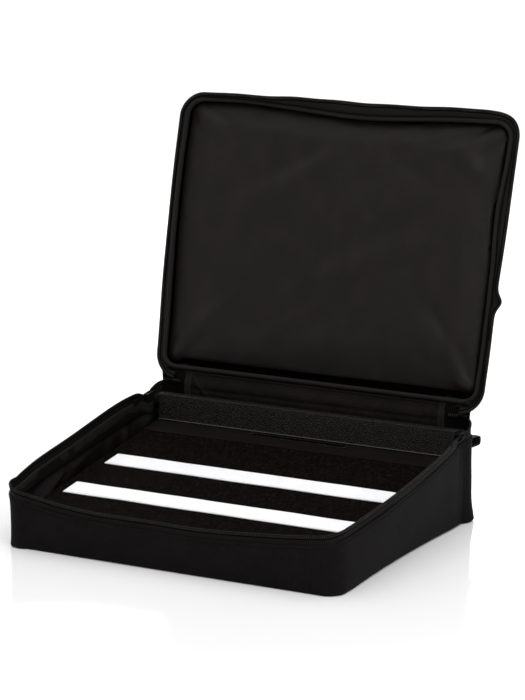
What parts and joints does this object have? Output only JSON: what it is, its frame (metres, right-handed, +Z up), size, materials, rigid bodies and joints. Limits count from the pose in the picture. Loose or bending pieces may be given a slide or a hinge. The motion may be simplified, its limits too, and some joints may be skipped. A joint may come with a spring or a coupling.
{
  "type": "pedalboard",
  "caption": "Sloping carpeted effects pedalboard with hook tape strips and a cable slot, lying in a padded wedge-shaped zip-round soft case with a hinged lid.",
  "frame": {"origin": "centre of the case's underside", "axes": "+Z up, +Y to the rear, towards the lid's hinge, +X to the right seen from the front"},
  "size_m": [0.481, 0.4888, 0.5042],
  "materials": {
    "case_fabric": "black woven polyester, fine weave",
    "lining_satin": "black satin lining, soft sheen",
    "zip_tape": "black herringbone zip tape",
    "zip_coil": "black nylon coil, satin gloss",
    "webbing": "black ribbed webbing",
    "padding_foam": "dark grey closed-cell foam",
    "stiffener_board": "black plastic board",
    "carpet": "black needle-punch carpet",
    "strip_vinyl": "smooth dark grey vinyl",
    "leatherette": "black pebble-grain leatherette",
    "hook_tape": "white hook tape",
    "plywood": "birch plywood",
    "painted_wood": "plywood painted black",
    "foot_rubber": "black rubber",
    "screw_steel": "zinc-plated steel",
    "slider_metal": "black enamelled die-cast zinc, worn bright at the edges"
  },
  "bodies": {
    "bag": {"bag_shell": "case_fabric", "bag_padding": "padding_foam", "bag_lining": "lining_satin", "base_zip_tape": "zip_tape", "base_zip_coil": "zip_coil", "seam_binding": "zip_tape", "hinge_strip_lower": "case_fabric", "stitch_band_left": "zip_tape", "stitch_band_right": "zip_tape", "zip_end_left": "zip_tape", "zip_end_right": "zip_tape", "strap_loop_left": "webbing", "strap_loop_right": "webbing", "handle_patch_left": "webbing", "handle_patch_right": "webbing"},
    "lid": {"lid_cover": "case_fabric", "lid_stiffener": "stiffener_board", "lid_padding": "padding_foam", "lid_lining": "lining_satin", "lid_binding": "zip_tape", "lid_zip_tape": "zip_tape", "lid_zip_coil": "zip_coil", "hinge_strip_upper": "case_fabric"},
    "board": {"deck_board": "plywood", "deck_carpet": "carpet", "rear_strip": "strip_vinyl", "front_hook_tape": "hook_tape", "rear_hook_tape": "hook_tape", "rear_panel": "painted_wood", "panel_leatherette": "leatherette", "side_rail_left": "painted_wood", "side_rail_right": "painted_wood", "front_rail": "painted_wood", "rubber_feet": "foot_rubber", "foot_screws": "screw_steel"},
    "slider_left": {"slider_left": "slider_metal"},
    "slider_right": {"slider_right": "slider_metal"},
    "puller_left": {"puller_left": "slider_metal"},
    "puller_right": {"puller_right": "slider_metal"},
    "handle": {"handle_strap": "webbing", "handle_grip": "webbing"}
  },
  "joints": [
    {"name": "lid_hinge", "type": "hinge", "parent": "bag", "child": "lid", "pos_m": [0, 0.1877, 0.134], "axis": [-1, 0, 0], "range_deg": [-112.67, 90]},
    {"name": "board_lift", "type": "slide", "parent": "bag", "child": "board", "axis": [0, 0, 1], "range_m": [0, 0.15]},
    {"name": "slider_left_slide", "type": "slide", "parent": "bag", "child": "slider_left", "axis": [0, 0.9924, 0.1231], "range_m": [-0.29, 0]},
    {"name": "slider_right_slide", "type": "slide", "parent": "bag", "child": "slider_right", "axis": [0, 0.9924, 0.1231], "range_m": [-0.29, 0]},
    {"name": "puller_left_swing", "type": "hinge", "parent": "slider_left", "child": "puller_left", "pos_m": [-0.22715, 0.14822, 0.11763], "axis": [0, 0.1231, -0.9924], "range_deg": [0, 165]},
    {"name": "puller_right_swing", "type": "hinge", "parent": "slider_right", "child": "puller_right", "pos_m": [0.22715, 0.14822, 0.11763], "axis": [0, -0.1231, 0.9924], "range_deg": [0, 165]},
    {"name": "handle_swing", "type": "hinge", "parent": "bag", "child": "handle", "pos_m": [0, 0.1905, 0.062], "axis": [1, 0, 0], "range_deg": [-25, 40]}
  ]
}
